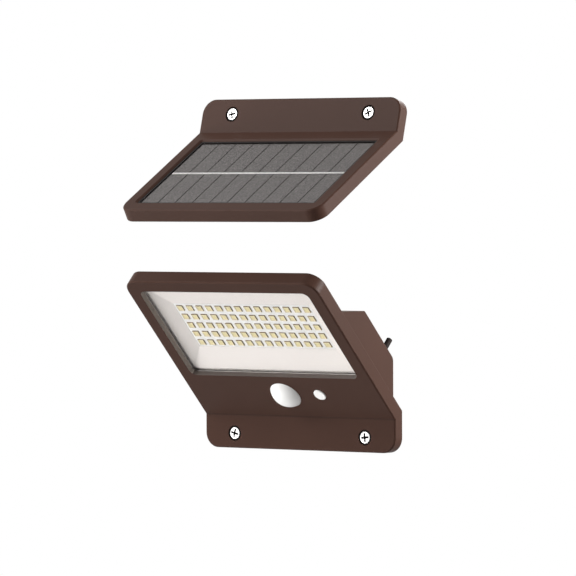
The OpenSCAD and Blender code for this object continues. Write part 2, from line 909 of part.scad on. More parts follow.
// Tray that the panel lies in, bevelled towards the panel
module panel_cut() {
    wide = [panel_pocket_w + 2 * bevel_run, panel_pocket_h + 2 * bevel_run];
    narrow = [panel_pocket_w, panel_pocket_h];
    plate(wide[0], wide[1], panel_mid, panel_r + bevel_run, -over, 0);
    funnel(wide, panel_r + bevel_run, panel_mid, 0, narrow, panel_r, panel_mid, panel_d);
    plate(narrow[0], narrow[1], panel_mid, panel_r, panel_d - leaf, tray_d);
}

module solar_frame() {
    color(brown) solar_unit() difference() {
        bent_body(solar_w, solar_flange_h, solar_face_l, solar_face_t, solar_tilt,
            solar_screw_span, solar_screw_drop);
        on_face(solar_tilt) {
            panel_cut();
            plate(cavity_w, cavity_high - cavity_low, (cavity_high + cavity_low) / 2, panel_r + cavity_side,
                tray_d + tray_t, solar_face_t + over);
            plate(cover_w + 2 * fit, cover_h + 2 * fit, cover_mid, corner_r - wall,
                solar_plate_d, solar_face_t + over);
            rod(0, gland_y, gland_bore_r, tray_d - over, solar_face_t);
            cover_screw_places()
                rod(0, 0, case_screw_r + pilot_gap, solar_face_t - case_screw_l, solar_face_t);
        }
    }
}

module solar_backsheet() {
    color(white) solar_face() plate(panel_w, panel_h, panel_mid, panel_r, tray_d - backsheet_t, tray_d);
}

module solar_cells() {
    cell_back = tray_d - backsheet_t;
    cell_w = cell_pitch - cell_gap;
    low = panel_mid - panel_h / 2 + cell_edge;
    high = panel_mid + panel_h / 2 - cell_edge;
    color(cell_grey) solar_face() {
        for (i = [0 : cell_count - 1]) {
            translate([(i - (cell_count - 1) / 2) * cell_pitch, 0, 0])
                block(cell_w, low, high, cell_back - cell_t, cell_back);
        }
    }
}

module solar_ribbon() {
    ribbon_d = panel_d + cover_t;
    color("silver") solar_face()
        block(panel_w - 2 * cell_edge, panel_mid - ribbon_w / 2, panel_mid + ribbon_w / 2,
            ribbon_d, ribbon_d + ribbon_t);
}

module solar_cover() {
    color(clear) solar_face() plate(panel_w, panel_h, panel_mid, panel_r, panel_d, panel_d + cover_t);
}

// Bead of sealant between the panel's edge and the tray
module panel_bead() {
    color(black) solar_face()
        ring(panel_pocket_w, panel_pocket_h, panel_mid, panel_r, bead_w, panel_d + bead_sink, tray_d);
}

module solar_back_cover() {
    color(brown) solar_face() difference() {
        plate(cover_w, cover_h, cover_mid, corner_r - wall - fit, solar_plate_d, solar_face_t);
        rod(0, gland_y, gland_r + gland_fit, solar_plate_d - over, solar_face_t + over);
        cover_screw_places() rod(0, 0, case_screw_r + hole_gap, solar_plate_d - over, solar_face_t + over);
    }
}

module solar_back_screws() {
    color(steel) solar_face() cover_screw_places()
        pan_screw(solar_face_t, case_screw_r, case_screw_l, case_head_r, case_head_h);
}

module solar_lead_gland() {
    color(black) solar_face() translate([0, gland_y, 0]) difference() {
        union() {
            rod(0, 0, gland_r, solar_plate_d, solar_face_t);
            rod(0, 0, gland_flange_r, solar_face_t, solar_face_t + gland_flange_t);
            translate([0, 0, -solar_face_t - gland_out])
                cylinder(r1 = gland_tip_r, r2 = gland_r, h = gland_out);
        }
        rod(0, 0, gland_bore_r, 0, solar_face_t + gland_out + over);
    }
}

module solar_wall_screws() {
    color(steel) solar_unit() wall_screw_pair(solar_screw_span, solar_screw_drop);
}

lamp_front_housing();
lamp_back_housing();
housing_seal();
housing_screws();
window_gasket();
window_lens();
reflector();
led_board();
led_chips();
pir_lens();
pir_sensor();
control_board();
control_parts();
control_screws();
mode_button();
tact_switch();
battery_cells();
battery_cradle();
battery_tabs();
lamp_lead_sleeve();
lamp_wall_screws();
solar_frame();
solar_backsheet();
solar_cells();
solar_ribbon();
solar_cover();
panel_bead();
solar_back_cover();
solar_back_screws();
solar_lead_gland();
solar_wall_screws();
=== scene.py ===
import bmesh
import bpy
import math
from mathutils import Matrix, Vector


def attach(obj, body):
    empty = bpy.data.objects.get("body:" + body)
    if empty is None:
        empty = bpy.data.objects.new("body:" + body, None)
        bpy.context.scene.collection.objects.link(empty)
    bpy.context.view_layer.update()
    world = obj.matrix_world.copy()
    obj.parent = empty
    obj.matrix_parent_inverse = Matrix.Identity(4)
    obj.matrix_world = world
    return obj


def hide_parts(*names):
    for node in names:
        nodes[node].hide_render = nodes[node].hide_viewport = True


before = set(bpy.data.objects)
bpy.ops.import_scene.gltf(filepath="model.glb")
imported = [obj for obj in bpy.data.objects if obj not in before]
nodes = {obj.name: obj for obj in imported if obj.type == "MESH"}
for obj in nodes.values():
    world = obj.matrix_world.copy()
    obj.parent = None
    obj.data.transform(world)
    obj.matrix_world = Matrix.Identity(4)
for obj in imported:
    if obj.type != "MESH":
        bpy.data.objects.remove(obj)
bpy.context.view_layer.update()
LIGHT = "light"  # the body that everything but the button rides on
mm = 0.001

# Sizes in millimetres and angles in degrees, as the part's source has them.
LAMP_SCREW_Z = 12.9  # from the lamp's bend down to its wall screws
SOLAR_SCREW_Z = 13.3  # from the solar unit's bend up to its wall screws
LAMP_SCREW_SPAN = 112
SOLAR_SCREW_SPAN = 117
SOLAR_AT = (3.4, -6.7, 207.5)
SOLAR_LEAN = 15
TILT = 45
FLANGE_T = 8.4
LAMP_FACE_T = 10.0
SOLAR_FACE_T = 9.3
LAMP_HALF = 81.5
WINDOW_W, WINDOW_H, WINDOW_MID = 143.4, 83.7, 82.05
FRONT_WALL = 3.2
CASE_SHARES = (0.27, 0.82)  # places of the upper case screws, as shares of LAMP_HALF
CASE_Y = 128.85
LOW_X, LOW_Y = 66.0, 13.0  # the two lower case screws
COVER_X, COVER_YS = 80.15, (20.6, 88.1)  # the screws of the solar unit's back cover
LED_COLS, LED_ROWS = 14, 5
LED_PITCH = (8.3, 8.5)
LED_MID = 81.7
LED_SIDE, LED_T = 5.0, 0.8
BOARD_D = 9.0

# Details in millimetres that only this script has.
LED_CHAMFER = 0.12
LED_RIM_IN = 0.45  # from the side of the LED to the inner side of its rim
LED_CUP_IN, LED_CUP_D = 0.75, 0.3  # from the side to the cup's floor, and its depth
WALL_HEAD_R, WALL_HEAD_H, WALL_HEAD_DOME = 4.75, 1.9, 0.5
WALL_HEAD_SINK = 0.3
WALL_SHANK_R = 2.4
WALL_SLOT = (2.9, 0.72, 1.7)  # half length, half width, depth
THREAD_CORE, THREAD_CREST, THREAD_PITCH = 1.55, 2.08, 1.7
THREAD_L, THREAD_TIP = 32, 4
SMALL_HEAD_R, SMALL_HEAD_H = 2.2, 1.6
SMALL_SHANK_R, SMALL_SHANK_L = 1.25, 6.4
SMALL_SLOT = (0.6 * SMALL_HEAD_R, 0.11 * SMALL_HEAD_R, 0.6 * SMALL_HEAD_H)
NEAR = 0.05  # a face whose middle lies no further off a surface counts as on it
WINDOW_MARGIN = 0.2  # a face this far outside the window's opening still counts as its wall

# Shares and angles of the screws' form.
CROWN_SHARE, CROWN_ROWS = 0.94, 8  # the crown's share of a head's radius
EDGE_SHARE = 0.06
EDGE_POINTS = ((0.45, 0.05), (0.1, 0.4))  # in from the side and down, in widths of the edge
SLOT_TAPER, SLOT_FOOT = 0.45, 0.75  # how a slot narrows downwards, in length and in width
SLOT_OVER = 0.3  # millimetres that the cutter stands over the head
SLOT_REACH = 1.2  # the recess lies within this many half lengths of the middle
RIM_SHADE_FROM = 0.85  # the share of a wall screw's radius from which its head is painted dark, as painted shade on its rim
HEAD_STEPS, SMALL_HEAD_STEPS = 48, 32
THREAD_STEPS, THREAD_LEVELS = 20, 8  # points round the shank, levels in one pitch
THREAD_POINT = 0.12  # the tip's least thickness, as a share of the shank's
THREAD_CREST_HALF = 0.3  # half a crest's width, in pitches
LAMP_TURNS, SOLAR_TURNS = (0.25, -0.1), (0.2, 0.45)  # radians
SMALL_TURN, SMALL_TURN_STEP = 0.3, 0.7
SHARP_ANGLE = math.radians(32)
CORNERS = ((-1, -1), (1, -1), (1, 1), (-1, 1))


# Places of the two units, of their faces and of their flanges.
def rot_x(deg):
    return Matrix.Rotation(math.radians(deg), 4, "X")


def shift(x, y, z):
    return Matrix.Translation((x * mm, y * mm, z * mm))


MIRROR_Z = Matrix.Scale(-1, 4, (0, 0, 1))
LAMP_UNIT = shift(0, 0, LAMP_SCREW_Z)
SOLAR_UNIT = shift(*SOLAR_AT) @ rot_x(-SOLAR_LEAN) @ MIRROR_Z
ON_FACE = shift(0, -FLANGE_T, 0) @ rot_x(90 + TILT)
ON_FLANGE = shift(0, -FLANGE_T, 0) @ MIRROR_Z @ rot_x(90)
LAMP_FACE = LAMP_UNIT @ ON_FACE
SOLAR_FACE = SOLAR_UNIT @ ON_FACE
LAMP_FLANGE = LAMP_UNIT @ ON_FLANGE
SOLAR_FLANGE = SOLAR_UNIT @ ON_FLANGE


# Helpers for meshes.
def add_object(name, data):
    ob = bpy.data.objects.new(name, data)
    bpy.context.scene.collection.objects.link(ob)
    return ob


def new_mesh(name, bm):
    """An object of its own from a bmesh, with its normals outwards."""
    bmesh.ops.recalc_face_normals(bm, faces=bm.faces)
    me = bpy.data.meshes.new(name)
    bm.to_mesh(me)
    bm.free()
    return add_object(name, me)


def join_rings(bm, a, b):
    """A band of faces between two rings that have the same number of points."""
    for i in range(len(a)):
        j = (i + 1) % len(a)
        bm.faces.new((a[i], b[i], b[j], a[j]))


def lathe(bm, profile, steps):
    """Turns (radius, height) pairs in millimetres about Z; the first and the last lie on it."""
    rings = []
    for r, z in profile:
        ring = []
        for i in range(1 if r == 0 else steps):
            turn = 2 * math.pi * i / steps
            ring.append(bm.verts.new((r * math.cos(turn) * mm, r * math.sin(turn) * mm, z * mm)))
        rings.append(ring)
    for a, b in zip(rings, rings[1:]):
        if len(a) == len(b):
            join_rings(bm, a, b)
            continue
        for i in range(steps):
            j = (i + 1) % steps
            if len(a) == 1:
                bm.faces.new((a[0], b[i], b[j]))
            else:
                bm.faces.new((a[i], b[0], a[j]))


def apply_modifiers(ob):
    graph = bpy.context.evaluated_depsgraph_get()
    me = bpy.data.meshes.new_from_object(ob.evaluated_get(graph))
    old = ob.data
    ob.modifiers.clear()
    ob.data = me
    bpy.data.meshes.remove(old)


def merged_copies(name, parts):
    """One object out of (object, matrix) pairs."""
    bm = bmesh.new()
    for ob, matrix in parts:
        me = ob.data.copy()
        me.transform(matrix)
        if matrix.determinant() < 0:
            me.flip_normals()
        bm.from_mesh(me)
        bpy.data.meshes.remove(me)
    me = bpy.data.meshes.new(name)
    bm.to_mesh(me)
    bm.free()
    for poly in me.polygons:
        poly.use_smooth = True
    me.set_sharp_from_angle(angle=SHARP_ANGLE)
    return add_object(name, me)


# Helpers for materials.
NOISE_LOW, NOISE_HIGH = 0.3, 0.7  # a noise texture hardly leaves this range


def node(nt, kind, **values):
    """A new node, with its inputs or else its settings by name."""
    n = nt.nodes.new(kind)
    for key, value in values.items():
        if key in n.inputs:
            n.inputs[key].default_value = value
        else:
            setattr(n, key, value)
    return n


def material(name):
    m = bpy.data.materials.new(name)
    m.use_nodes = True
    nt = m.node_tree
    nt.nodes.clear()
    out = nt.nodes.new("ShaderNodeOutputMaterial")
    bsdf = nt.nodes.new("ShaderNodeBsdfPrincipled")
    nt.links.new(bsdf.outputs["BSDF"], out.inputs["Surface"])
    return m, nt, bsdf


def coords(nt, scale=(1, 1, 1)):
    """The piece's own coordinates in metres, scaled."""
    source = nt.nodes.new("ShaderNodeTexCoord")
    mapping = node(nt, "ShaderNodeMapping", Scale=scale)
    nt.links.new(source.outputs["Object"], mapping.inputs["Vector"])
    return mapping.outputs["Vector"]


def noise(nt, vector, **values):
    n = node(nt, "ShaderNodeTexNoise", **values)
    nt.links.new(vector, n.inputs["Vector"])
    return n.outputs["Fac"]


def ramp(nt, source, low, high):
    """Two (position, colour) stops."""
    n = nt.nodes.new("ShaderNodeValToRGB")
    for stop, (position, colour) in zip(n.color_ramp.elements, (low, high)):
        stop.position = position
        stop.color = (*colour, 1)
    nt.links.new(source, n.inputs["Fac"])
    return n.outputs["Color"]


def mapped(nt, source, low, high, new_low, new_high):
    n = node(nt, "ShaderNodeMapRange")
    for key, value in (("From Min", low), ("From Max", high), ("To Min", new_low), ("To Max", new_high)):
        n.inputs[key].default_value = value
    nt.links.new(source, n.inputs["Value"])
    return n.outputs["Result"]


def maths(nt, operation, *values, clamp=False):
    """A Math node on sockets or plain numbers."""
    n = node(nt, "ShaderNodeMath", operation=operation, use_clamp=clamp)
    for socket, value in zip(n.inputs, values):
        if isinstance(value, float):
            socket.default_value = value
        else:
            nt.links.new(value, socket)
    return n.outputs[0]


def mix_shaders(nt, share, first, second):
    mix = nt.nodes.new("ShaderNodeMixShader")
    nt.links.new(share, mix.inputs["Fac"])
    nt.links.new(first, mix.inputs[1])
    nt.links.new(second, mix.inputs[2])
    return mix.outputs["Shader"]


def shows_background(nt):
    """1 for camera, glossy and transmission rays, which see the plain white ground."""
    path = nt.nodes.new("ShaderNodeLightPath")
    seen = maths(nt, "ADD", path.outputs["Is Camera Ray"], path.outputs["Is Glossy Ray"], clamp=True)
    return maths(nt, "ADD", seen, path.outputs["Is Transmission Ray"], clamp=True)


def set_roughness(nt, bsdf, fac, low, high):
    nt.links.new(mapped(nt, fac, NOISE_LOW, NOISE_HIGH, low, high), bsdf.inputs["Roughness"])


def set_normal(nt, bsdf, height, strength, depth, soft, samples):
    """A bump of this depth, over edges softened to this radius, both in metres."""
    bump = node(nt, "ShaderNodeBump", Strength=strength, Distance=depth)
    nt.links.new(height, bump.inputs["Height"])
    if soft > 0:
        bevel = node(nt, "ShaderNodeBevel", Radius=soft, samples=samples)
        nt.links.new(bevel.outputs["Normal"], bump.inputs["Normal"])
    nt.links.new(bump.outputs["Normal"], bsdf.inputs["Normal"])


def scaled(colour, k):
    return tuple(c * k for c in colour)


# Kinds of material. Lengths are in metres and colours are linear.
# painted shade along the lamp's bend: how dark it gets, and the half widths of its core and of its fade
CREASE_PAINTED_SHADE = 0.22
CREASE_CORE, CREASE_FADE = 0.0003, 0.0009
FRONT_FROM, FRONT_FULL = -0.4, -0.7  # the normal's Y on faces that look forward


def painted_crease_shade(nt, height):
    """Painted shade: 1, and slightly less along the bend at this height on the faces that look forward.
    """
    geometry = nt.nodes.new("ShaderNodeNewGeometry")
    at = nt.nodes.new("ShaderNodeSeparateXYZ")
    nt.links.new(geometry.outputs["Position"], at.inputs["Vector"])
    facing = nt.nodes.new("ShaderNodeSeparateXYZ")
    nt.links.new(geometry.outputs["True Normal"], facing.inputs["Vector"])
    off = maths(nt, "ABSOLUTE", maths(nt, "SUBTRACT", at.outputs["Z"], height))
    line = mapped(nt, off, CREASE_CORE, CREASE_FADE, CREASE_PAINTED_SHADE, 0.0)
    front = mapped(nt, facing.outputs["Y"], FRONT_FROM, FRONT_FULL, 0.0, 1.0)
    return maths(nt, "SUBTRACT", 1.0, maths(nt, "MULTIPLY", line, front))


def plastic(name, base, rough, grain, depth, spread=0.05, soft=0.0, tint=0.06, shine=0.5, painted_crease_at=None):
    """Moulded plastic or rubber with a fine texture, slight colour flow and softened edges, and with
    painted shade along a bend when its height is given.
    """
    m, nt, bsdf = material(name)
    bsdf.inputs["Specular IOR Level"].default_value = shine
    v = coords(nt)
    flow = noise(nt, v, Scale=14.0, Detail=4.0, Roughness=0.55)
    colour = ramp(nt, flow, (NOISE_LOW, scaled(base, 1 - tint)), (NOISE_HIGH, scaled(base, 1 + tint)))
    if painted_crease_at is not None:
        # painted shade: the colour darkens along the bend
        shade = node(nt, "ShaderNodeVectorMath", operation="SCALE")
        nt.links.new(colour, shade.inputs[0])
        nt.links.new(painted_crease_shade(nt, painted_crease_at), shade.inputs["Scale"])
        colour = shade.outputs["Vector"]
    nt.links.new(colour, bsdf.inputs["Base Color"])
    fine = noise(nt, v, Scale=1.0 / grain, Detail=2.0, Roughness=0.6)
    set_roughness(nt, bsdf, fine, rough - spread, rough + spread)
    set_normal(nt, bsdf, fine, strength=0.6, depth=depth, soft=soft, samples=6)
    return m


def metal(name, base, rough, brushed=(1, 1, 1), soft=0.0, spread=0.06, dark=0.93):
    """Metal with a fine grain, which is finer along the directions that brushed scales up."""
    m, nt, bsdf = material(name)
    bsdf.inputs["Metallic"].default_value = 1.0
    fine = noise(nt, coords(nt, brushed), Scale=900.0, Detail=3.0, Roughness=0.6)
    colour = ramp(nt, fine, (NOISE_LOW, scaled(base, dark)), (NOISE_HIGH, base))
    nt.links.new(colour, bsdf.inputs["Base Color"])
    set_roughness(nt, bsdf, fine, rough - spread, rough + spread)
    set_normal(nt, bsdf, fine, strength=0.4, depth=0.00001, soft=soft, samples=4)
    return m


def clear_material(name, face_alpha, edge_alpha):
    """Clear sheet: see-through when looked at squarely, with a thin shine at a flat angle."""
    m, nt, bsdf = material(name)
    bsdf.inputs["Base Color"].default_value = (0, 0, 0, 1)
    set_roughness(nt, bsdf, noise(nt, coords(nt), Scale=60.0, Detail=2.0), low=0.02, high=0.04)
    slant = node(nt, "ShaderNodeLayerWeight", Blend=0.25)
    alpha = mapped(nt, slant.outputs["Fresnel"], 0.0, 1.0, face_alpha, edge_alpha)
    nt.links.new(alpha, bsdf.inputs["Alpha"])
    return m


def cell_material(name, dark, light):
    """Grey silicon with a fine grain, and with finer fingers that run up the face."""
    m, nt, bsdf = material(name)
    bsdf.inputs["Specular IOR Level"].default_value = 0.05
    v = coords(nt)
    fine = noise(nt, v, Scale=1000.0, Detail=1.0, Roughness=0.5)
    grain = ramp(nt, fine, (0.38, dark), (0.62, light))
    wave = node(nt, "ShaderNodeTexWave", Scale=220.0)
    nt.links.new(v, wave.inputs["Vector"])
    fingers = ramp(nt, wave.outputs["Fac"], (0.82, (0.92, 0.92, 0.92)), (0.97, (1.0, 1.0, 1.0)))
    mix = node(nt, "ShaderNodeMix", data_type="RGBA", blend_type="MULTIPLY")
    mix.inputs["Factor"].default_value = 1.0
    # for colours, this node's sockets A and B are numbers 6 and 7, and its result is number 2
    nt.links.new(grain, mix.inputs[6])
    nt.links.new(fingers, mix.inputs[7])
    nt.links.new(mix.outputs[2], bsdf.inputs["Base Color"])
    set_roughness(nt, bsdf, fine, low=0.4, high=0.55)
    return m


# Materials.
BROWN = (0.048, 0.0238, 0.0172)
m_housing = plastic("housing_plastic", BROWN, rough=0.42, spread=0.04, grain=0.00035, depth=0.000012,
                    soft=0.0005, shine=0.05)
# the housing's plastic with painted shade along the lamp's bend
m_lamp = plastic("lamp_plastic_crease_shade", BROWN, rough=0.42, spread=0.04, grain=0.00035, depth=0.000012,
                 soft=0.0005, shine=0.05, painted_crease_at=LAMP_SCREW_Z * mm)
m_back = plastic("box_plastic", BROWN, rough=0.5, grain=0.0004, depth=0.000018, soft=0.0006,
                 shine=0.05)
m_cover_plate = plastic("cover_plastic", BROWN, rough=0.85, spread=0.04, grain=0.0004,
                        depth=0.000018, shine=0.0)
m_seal = plastic("seal_rubber", (0.02, 0.017, 0.016), rough=0.7, grain=0.0003, depth=0.00002,
                 shine=0.15)
m_black = plastic("black_plastic", (0.022, 0.02, 0.02), rough=0.5, grain=0.0003, depth=0.00001,
                  soft=0.0002)
m_backsheet = plastic("backsheet_black", (0.016, 0.014, 0.013), rough=0.6, grain=0.0004,
                      depth=0.000004, shine=0.05)
m_edge = plastic("window_edge_grey", (0.085, 0.068, 0.06), rough=0.5, grain=0.0004,
                 depth=0.000004, tint=0.03, shine=0.15)
# a lighter copy of the window's grey, as painted light on the opening's side walls
m_edge_painted_light = plastic("window_side_painted_light", (0.3, 0.26, 0.23), rough=0.5, grain=0.0004,
                      depth=0.000004, tint=0.03, shine=0.15)
m_silicone = plastic("silicone_grey", (0.74, 0.71, 0.69), rough=0.55, grain=0.0004,
                     depth=0.000006, tint=0.02)
m_sleeve = plastic("sleeve_rubber", (0.012, 0.008, 0.007), rough=0.7, grain=0.0003,
                   depth=0.00001, soft=0.0002, shine=0.1)
m_reflector = plastic("reflector_white", (0.87, 0.815, 0.775), rough=0.32, grain=0.0006,
                      depth=0.000005, soft=0.0002, tint=0.01)
m_board = plastic("board_white", (0.9, 0.89, 0.87), rough=0.45, grain=0.0005, depth=0.000004,
                  tint=0.01)
m_dome = plastic("dome_white", (0.82, 0.812, 0.798), rough=0.4, grain=0.0005, depth=0.000004,
                 tint=0.01, soft=0.0003, shine=0.25)
m_button = plastic("button_white", (0.8, 0.792, 0.775), rough=0.42, grain=0.0004,
                   depth=0.000004, tint=0.01, soft=0.0003, shine=0.2)
m_green = plastic("board_green", (0.02, 0.13, 0.06), rough=0.4, grain=0.0006, depth=0.00001)
m_cells = plastic("cell_sleeve", (0.05, 0.16, 0.4), rough=0.3, grain=0.0008, depth=0.00001)
m_screw = metal("screw_steel", (0.72, 0.71, 0.7), rough=0.42, soft=0.00015)
# darker steel than the heads, so that the shanks show against the white ground
m_shank = metal("screw_shank", (0.4, 0.385, 0.37), rough=0.4)
m_tab = metal("tinned_strip", (0.78, 0.77, 0.75), rough=0.3, brushed=(1, 8, 8))
# near black, as painted shade in the screws' cross recesses and on the wall screws' rims
m_recess_shade = plastic("screw_recess_painted_shade", (0.02, 0.018, 0.018), rough=0.6, grain=0.0003,
                   depth=0.000003, shine=0.1)
m_ribbon = plastic("ribbon_tin", (0.93, 0.91, 0.89), rough=0.35, grain=0.0006, depth=0.000004,
                   tint=0.02)
m_led_side = plastic("led_body", (0.31, 0.235, 0.13), rough=0.5, grain=0.0005, depth=0.000003,
                     tint=0.04)
m_led_rim = plastic("led_rim", (0.82, 0.73, 0.52), rough=0.42, grain=0.0005, depth=0.000003,
                    tint=0.02)
m_led = plastic("led_resin", (0.8, 0.69, 0.38), rough=0.34, grain=0.0012, depth=0.000004,
                tint=0.05)
m_window = clear_material("clear_window", 0.01, 0.12)
m_cover = clear_material("clear_cover", 0.01, 0.1)
m_silicon = cell_material("solar_silicon", (0.092, 0.086, 0.084), (0.19, 0.176, 0.171))

DRESS = (
    (m_housing, ("solar_frame",)),
    (m_cover_plate, ("solar_back_cover",)),
    (m_lamp, ("lamp_front_housing",)),
    (m_back, ("lamp_back_housing",)),
    (m_seal, ("housing_seal", "panel_bead")),
    (m_silicone, ("window_gasket",)),
    (m_black, ("control_parts", "tact_switch", "battery_cradle", "solar_lead_gland")),
    (m_sleeve, ("lamp_lead_sleeve",)),
    (m_screw, ("housing_screws", "control_screws", "solar_back_screws", "lamp_wall_screws",
               "solar_wall_screws", "pir_sensor")),
    (m_tab, ("battery_tabs",)),
    (m_ribbon, ("solar_ribbon",)),
    (m_window, ("window_lens",)),
    (m_cover, ("solar_cover",)),
    (m_reflector, ("reflector",)),
    (m_board, ("led_board",)),
    (m_backsheet, ("solar_backsheet",)),
    (m_dome, ("pir_lens",)),
    (m_button, ("mode_button",)),
    (m_green, ("control_board",)),
    (m_led, ("led_chips",)),
    (m_silicon, ("solar_cells",)),
    (m_cells, ("battery_cells",)),
)
for finish, names in DRESS:
    for name in names:
        nodes[name].data.materials.clear()
        nodes[name].data.materials.append(finish)


ACROSS_MAX, SIDEWAYS_MIN = 0.8, 0.7  # limits on the normals of a wall and of a side wall


def window_edge_painted_light():
    """Greys for the walls of the window's opening: the side walls are lighter than the others, as
    painted light.

    They match the photograph's tones and stand for no shape.
    """
    ob = nodes["lamp_front_housing"]
    ob.data.materials.append(m_edge)
    ob.data.materials.append(m_edge_painted_light)
    reach_x, reach_y = WINDOW_W / 2 + WINDOW_MARGIN, WINDOW_H / 2 + WINDOW_MARGIN
    back = LAMP_FACE.inverted() @ ob.matrix_world
    turn = back.to_3x3()
    for poly in ob.data.polygons:
        p = (back @ poly.center) / mm
        n = (turn @ poly.normal).normalized()
        inside = abs(p.x) < reach_x and abs(p.y - WINDOW_MID) < reach_y
        in_wall = -FRONT_WALL - NEAR < p.z < NEAR
        if inside and in_wall and abs(n.z) < ACROSS_MAX:
            # painted light: the side walls take the lighter grey
            poly.material_index = 2 if abs(n.x) > SIDEWAYS_MIN else 1


window_edge_painted_light()


# Screws with their recess and thread, in place of the plain ones.
def tapered_bar(bm, half_l, half_w, top, depth, turn):
    """A bar that narrows downwards, which cuts one slot of a cross recess."""
    c, s = math.cos(turn), math.sin(turn)
    rings = []
    ends = ((top, 1.0 + SLOT_TAPER * (top / depth), 1.0), (-depth, 1.0 - SLOT_TAPER, SLOT_FOOT))
    for z, long, wide in ends:
        ring = []
        for x, y in CORNERS:
            px, py = x * half_l * long, y * half_w * wide
            ring.append(bm.verts.new(((px * c - py * s) * mm, (px * s + py * c) * mm, z * mm)))
        rings.append(ring)
    bm.faces.new(rings[0])
    bm.faces.new(rings[1][::-1])
    join_rings(bm, *rings)


def recessed_head(name, r, h, dome, shank_r, shank_l, slot, turn, steps=HEAD_STEPS, painted_shade_from=math.inf):
    """Pan head whose rim's top lies at z = 0 and whose shank runs down from its seat.

    The recess and the head's faces beyond the given share of its radius are painted dark, as painted
    shade.
    """
    slot_l, slot_w, slot_d = slot
    rows = [(0.0, dome)]
    for i in range(1, CROWN_ROWS + 1):
        q = r * CROWN_SHARE * i / CROWN_ROWS
        rows.append((q, dome * (1 - (q / r) ** 2)))
    edge = r * EDGE_SHARE
    rows += [(r - edge * inwards, -edge * down) for inwards, down in EDGE_POINTS]
    rows += [(r, -edge), (r, -h), (shank_r, -h), (shank_r, -h - shank_l), (0.0, -h - shank_l)]
    bm = bmesh.new()
    lathe(bm, rows, steps)
    ob = new_mesh(name, bm)
    cutters = []
    for k in (0, 1):
        bm = bmesh.new()
        tapered_bar(bm, slot_l, slot_w, dome + SLOT_OVER, slot_d, turn + k * math.pi / 2)
        cutter = new_mesh(f"{name}_cut{k}", bm)
        cut = ob.modifiers.new(f"cut{k}", "BOOLEAN")
        cut.operation = "DIFFERENCE"
        cut.solver = "EXACT"
        cut.object = cutter
        cutters.append(cutter)
    apply_modifiers(ob)
    for cutter in cutters:
        bpy.data.objects.remove(cutter)
    for poly in ob.data.polygons:
        poly.use_smooth = True
        x, y, z = (c / mm for c in poly.center)
        reach = math.hypot(x, y)
        crown = dome * (1 - (reach / r) ** 2)
        inside = reach < SLOT_REACH * slot_l and crown - NEAR > z > -h + NEAR
        # painted shade: the recess and the rim take the dark material
        poly.material_index = 1 if inside or reach > painted_shade_from * r else 0
    ob.data.set_sharp_from_angle(angle=SHARP_ANGLE)
    return ob


def thread(bm, z0, z1):
    """A closed threaded shank from z0 down to z1, with a pointed end."""
    length = z0 - z1 + THREAD_TIP
    levels = round(length / (THREAD_PITCH / THREAD_LEVELS))
    rings = []
    for k in range(levels + 1):
        z = z0 - length * k / levels
        fade = 1.0 if z > z1 else max(THREAD_POINT, (z - (z1 - THREAD_TIP)) / THREAD_TIP)
        start = min(1.0, (z0 - z) / THREAD_PITCH)
        ring = []
        for i in range(THREAD_STEPS):
            turn = 2 * math.pi * i / THREAD_STEPS
            phase = (z / THREAD_PITCH + i / THREAD_STEPS) % 1.0
            lift = max(0.0, 1 - abs(phase - 0.5) / THREAD_CREST_HALF) * start
            r = (THREAD_CORE + (THREAD_CREST - THREAD_CORE) * lift) * fade
            ring.append(bm.verts.new((r * math.cos(turn) * mm, r * math.sin(turn) * mm, z * mm)))
        rings.append(ring)
    for a, b in zip(rings, rings[1:]):
        join_rings(bm, a, b)
    bm.faces.new(rings[0])
    bm.faces.new(rings[-1][::-1])


def wall_screws(name, node_name, flange, span, drop, turns):
    """The two screws of a flange. Their heads' rims carry painted shade, as the photograph shows them.
    """
    bm = bmesh.new()
    thread(bm, -FLANGE_T, -FLANGE_T - THREAD_L)
    threads = new_mesh(name + "_thread", bm)
    for poly in threads.data.polygons:
        poly.material_index = 2
    shank_l = FLANGE_T - WALL_HEAD_SINK - WALL_HEAD_H
    parts = []
    for side, turn in zip((-1, 1), turns):
        head = recessed_head(f"{name}_head{side}", WALL_HEAD_R, WALL_HEAD_H, WALL_HEAD_DOME,
                             WALL_SHANK_R, shank_l, WALL_SLOT, turn, painted_shade_from=RIM_SHADE_FROM)
        spot = flange @ shift(side * span / 2, drop, 0)
        parts.append((head, spot @ shift(0, 0, -WALL_HEAD_SINK)))
        parts.append((threads, spot))
    ob = merged_copies(name, parts)
    for piece in {piece for piece, _ in parts}:
        bpy.data.objects.remove(piece)
    for m in (m_screw, m_recess_shade, m_shank):
        ob.data.materials.append(m)
    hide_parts(node_name)
    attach(ob, LIGHT)


def small_screws(name, node_name, face, depth, places):
    """Screws that go in from behind: the head lies below depth, the shank points at the face."""
    head = recessed_head(name + "_head", SMALL_HEAD_R, SMALL_HEAD_H, 0.0, SMALL_SHANK_R,
                         SMALL_SHANK_L, SMALL_SLOT, SMALL_TURN, steps=SMALL_HEAD_STEPS)
    back = Matrix.Rotation(math.pi, 4, "X")
    parts = []
    for k, (x, y) in enumerate(places):
        turn = Matrix.Rotation(SMALL_TURN_STEP * k, 4, "Z")
        parts.append((head, face @ shift(x, y, -depth - SMALL_HEAD_H) @ back @ turn))
    ob = merged_copies(name, parts)
    bpy.data.objects.remove(head)
    for m in (m_screw, m_recess_shade):
        ob.data.materials.append(m)
    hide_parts(node_name)
    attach(ob, LIGHT)


